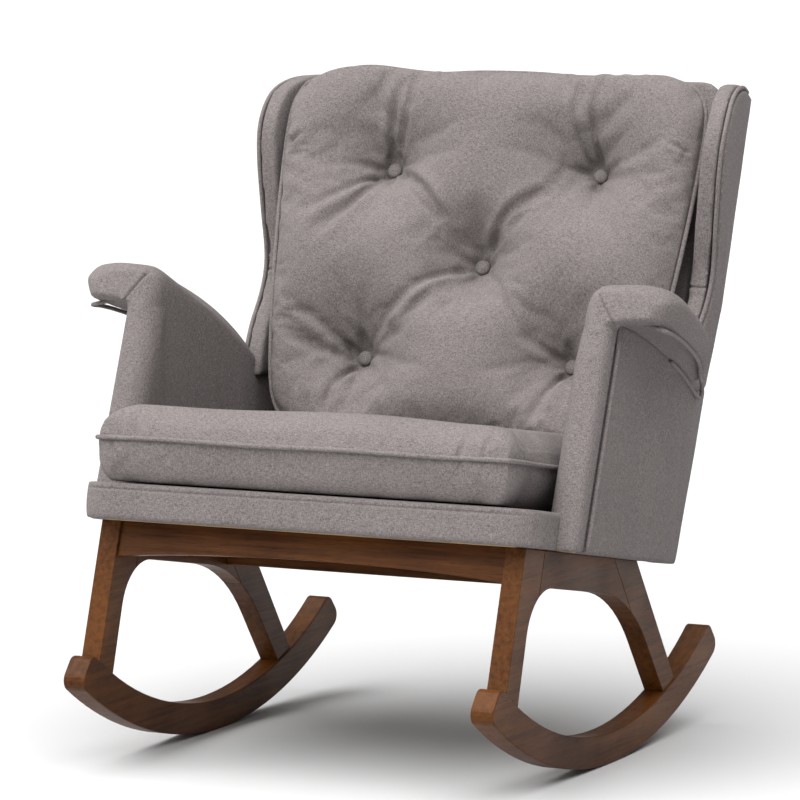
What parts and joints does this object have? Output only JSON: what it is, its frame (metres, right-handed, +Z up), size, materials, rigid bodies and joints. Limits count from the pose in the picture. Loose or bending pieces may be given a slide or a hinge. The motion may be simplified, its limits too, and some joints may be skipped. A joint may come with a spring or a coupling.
{
  "type": "rocking chair",
  "caption": "Upholstered wing-back rocking chair with flared arms, an arched walnut-stained base on rockers, and loose tufted back and seat cushions.",
  "frame": {"origin": "on the floor, under the middle of the whole chair's box; the rockers touch the floor 36 mm in front of it", "axes": "+Z up, -Y the way the chair faces, +X to the left hand of a person sitting in it"},
  "size_m": [0.866, 0.8393, 0.8981],
  "materials": {
    "walnut": "satin walnut stain on solid hardwood",
    "hidden_timber": "bare sawn timber, hidden inside",
    "grey_weave": "plain heathered weave over foam and fibre",
    "webbing": "woven elastic strap",
    "dust_cloth": "thin black non-woven cloth",
    "zinc_steel": "plain zinc-plated steel"
  },
  "bodies": {
    "chair": {"rocker_left": "walnut", "rocker_right": "walnut", "front_leg_left": "walnut", "front_leg_right": "walnut", "side_rail_left": "walnut", "side_rail_right": "walnut", "rear_leg_left": "walnut", "rear_leg_right": "walnut", "front_rail": "walnut", "rear_rail": "walnut", "front_leg_dowel_left": "hidden_timber", "front_leg_dowel_right": "hidden_timber", "rear_leg_dowel_left": "hidden_timber", "rear_leg_dowel_right": "hidden_timber", "front_rail_screw_left": "zinc_steel", "front_rail_screw_right": "zinc_steel", "rear_rail_screw_left": "zinc_steel", "rear_rail_screw_right": "zinc_steel", "seat_frame_front": "hidden_timber", "seat_frame_rear": "hidden_timber", "seat_frame_left": "hidden_timber", "seat_frame_right": "hidden_timber", "seat_frame_middle": "hidden_timber", "webbing_strap_1": "webbing", "webbing_strap_2": "webbing", "webbing_strap_3": "webbing", "seat_deck": "grey_weave", "seat_apron": "grey_weave", "dust_cover": "dust_cloth", "arm_inner_pad_left": "grey_weave", "arm_inner_pad_right": "grey_weave", "arm_board_left": "hidden_timber", "arm_board_right": "hidden_timber", "arm_outer_panel_left": "grey_weave", "arm_outer_panel_right": "grey_weave", "arm_front_band_left": "grey_weave", "arm_front_band_right": "grey_weave", "arm_top_pad_left": "grey_weave", "arm_top_pad_right": "grey_weave", "arm_welt_left": "grey_weave", "arm_welt_right": "grey_weave", "outside_back_panel": "grey_weave", "back_board": "hidden_timber", "inside_back_pad": "grey_weave", "wing_pad_left": "grey_weave", "wing_pad_right": "grey_weave", "wing_outer_panel_left": "grey_weave", "wing_outer_panel_right": "grey_weave", "wing_welt_left": "grey_weave", "wing_welt_right": "grey_weave"},
    "seat_cushion": {"seat_cushion": "grey_weave", "seat_cushion_welt": "grey_weave"},
    "back_cushion": {"back_cushion": "grey_weave", "back_cushion_welt": "grey_weave", "button_top_left": "grey_weave", "button_top_right": "grey_weave", "button_centre": "grey_weave", "button_bottom_left": "grey_weave", "button_bottom_right": "grey_weave"}
  },
  "joints": [
    {"name": "seat_cushion_slide", "type": "slide", "parent": "chair", "child": "seat_cushion", "axis": [0, -0.9848, 0.1736], "range_m": [0, 0.6]},
    {"name": "back_cushion_slide", "type": "slide", "parent": "chair", "child": "back_cushion", "axis": [0, 0.3843, 0.9232], "range_m": [0, 0.6]}
  ]
}
